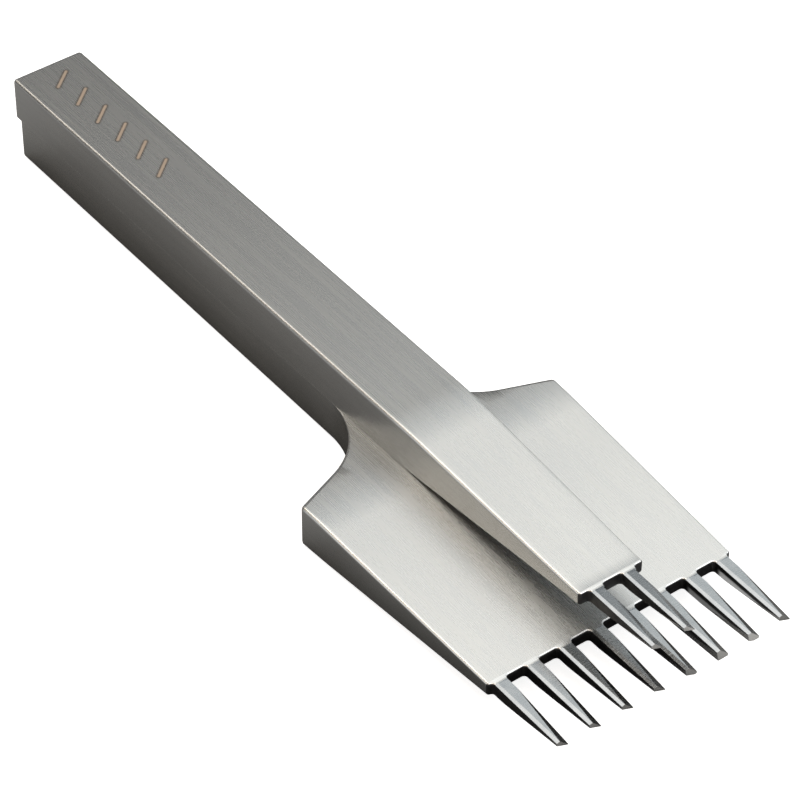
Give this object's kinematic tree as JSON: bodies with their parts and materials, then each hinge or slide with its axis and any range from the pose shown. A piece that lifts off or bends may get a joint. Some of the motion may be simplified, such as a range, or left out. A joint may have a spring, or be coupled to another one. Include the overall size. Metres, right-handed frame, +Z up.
{
  "type": "pricking iron pair",
  "caption": "Stacked pair of one-piece steel pricking irons for leather: a wide comb head and a narrow one, each on a plain rectangular shank with slanted ground teeth.",
  "frame": {"origin": "centre of the pair's bounding box, on the surface that the lower iron lies on", "axes": "+X across the row of teeth, +Y from the struck butt ends to the teeth, +Z up through the stack"},
  "size_m": [0.0314, 0.1066, 0.01],
  "materials": {
    "eight_prong_iron": "ground bare tool steel, fine scratches along the shank",
    "two_prong_iron": "ground bare tool steel, fine scratches along the shank, pale etched pitch strokes near the butt"
  },
  "bodies": {
    "eight_prong_iron": {"eight_prong_iron": "eight_prong_iron"},
    "two_prong_iron": {"two_prong_iron": "two_prong_iron"}
  },
  "joints": [
    {"name": "two_prong_lift", "type": "slide", "parent": "eight_prong_iron", "child": "two_prong_iron", "axis": [0, 0, 1], "range_m": [0, 0.03]}
  ]
}
